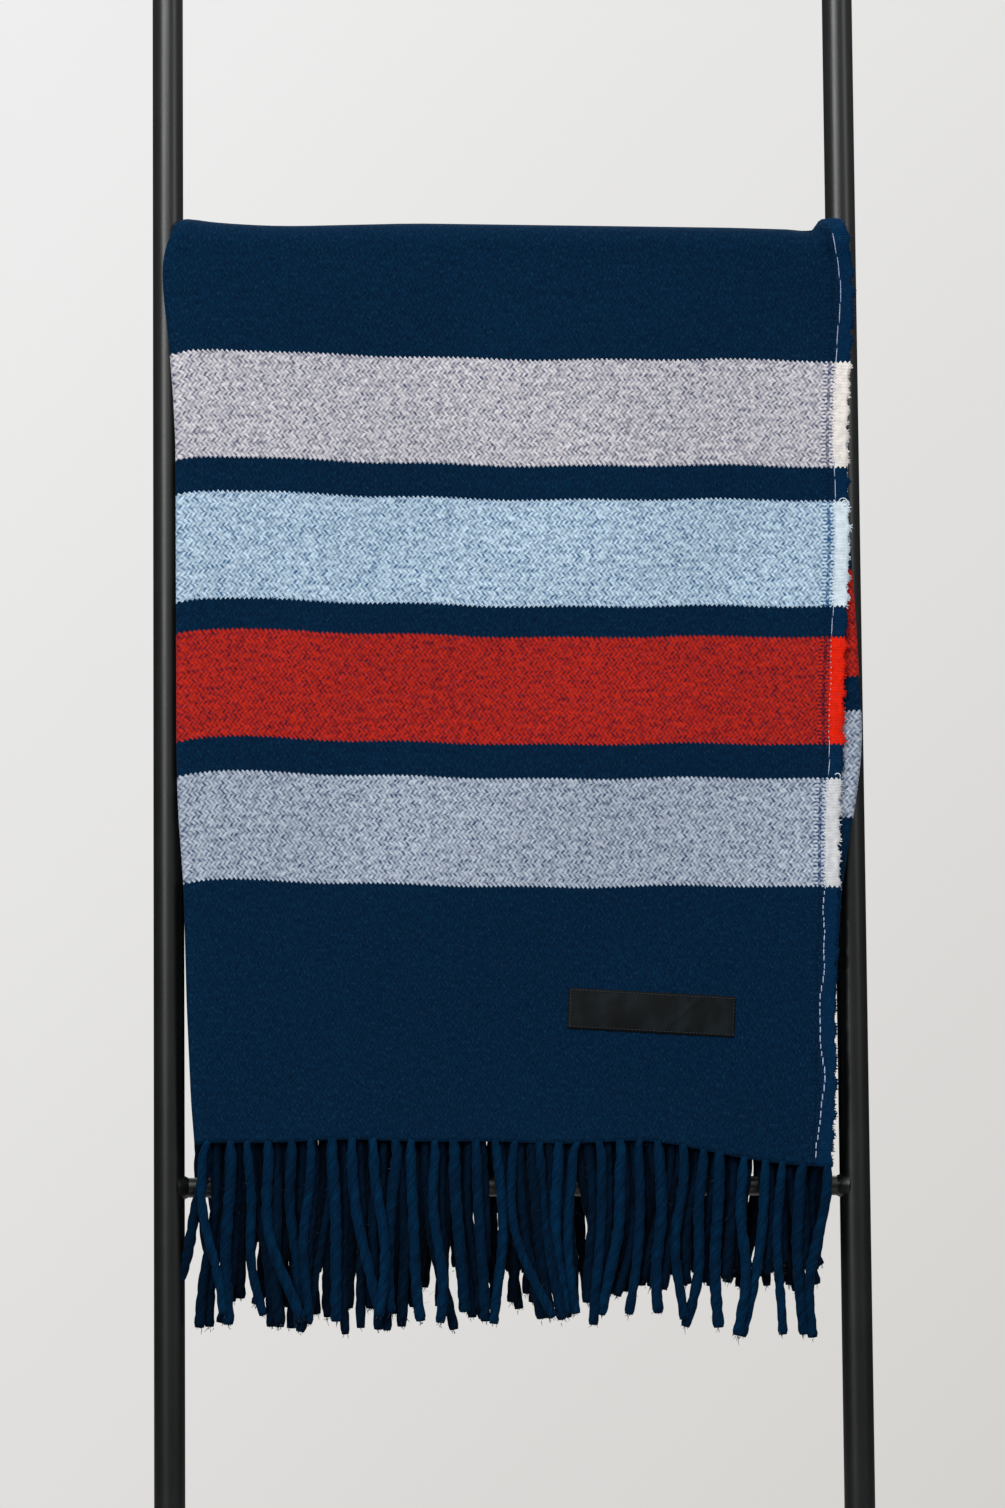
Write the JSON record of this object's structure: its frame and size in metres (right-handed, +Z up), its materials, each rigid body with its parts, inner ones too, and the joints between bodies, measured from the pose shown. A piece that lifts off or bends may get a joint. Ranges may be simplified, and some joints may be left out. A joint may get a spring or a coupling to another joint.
{
  "type": "blanket ladder with throw",
  "caption": "Leaning round-tube blanket ladder with a fringed, striped woven throw folded lengthways and hung over its top rung.",
  "frame": {"origin": "on the floor, midway between the two feet, where the leaning ladder stands", "axes": "+Z up, +Y back towards the wall that the ladder leans on, +X to the right seen from the front"},
  "size_m": [0.523, 0.2385, 1.5099],
  "materials": {
    "powder_coat": "satin black powder coat on steel tube",
    "rubber": "moulded matt black rubber",
    "throw_cloth": "brushed twill in navy with grey, light blue and red bands",
    "fringe_yarn": "twisted navy yarn",
    "label_satin": "black woven satin"
  },
  "bodies": {
    "ladder": {"left_stile": "powder_coat", "right_stile": "powder_coat", "bottom_rung": "powder_coat", "lower_middle_rung": "powder_coat", "upper_middle_rung": "powder_coat", "top_rung": "powder_coat", "weld_beads": "powder_coat", "left_foot": "rubber", "right_foot": "rubber", "left_end_cap": "rubber", "right_end_cap": "rubber"},
    "throw": {"throw": "throw_cloth", "front_fringe": "fringe_yarn", "back_fringe": "fringe_yarn", "label": "label_satin"}
  },
  "joints": [
    {"name": "throw_lift", "type": "slide", "parent": "ladder", "child": "throw", "axis": [0, 0, 1], "range_m": [0, 1.05]}
  ]
}
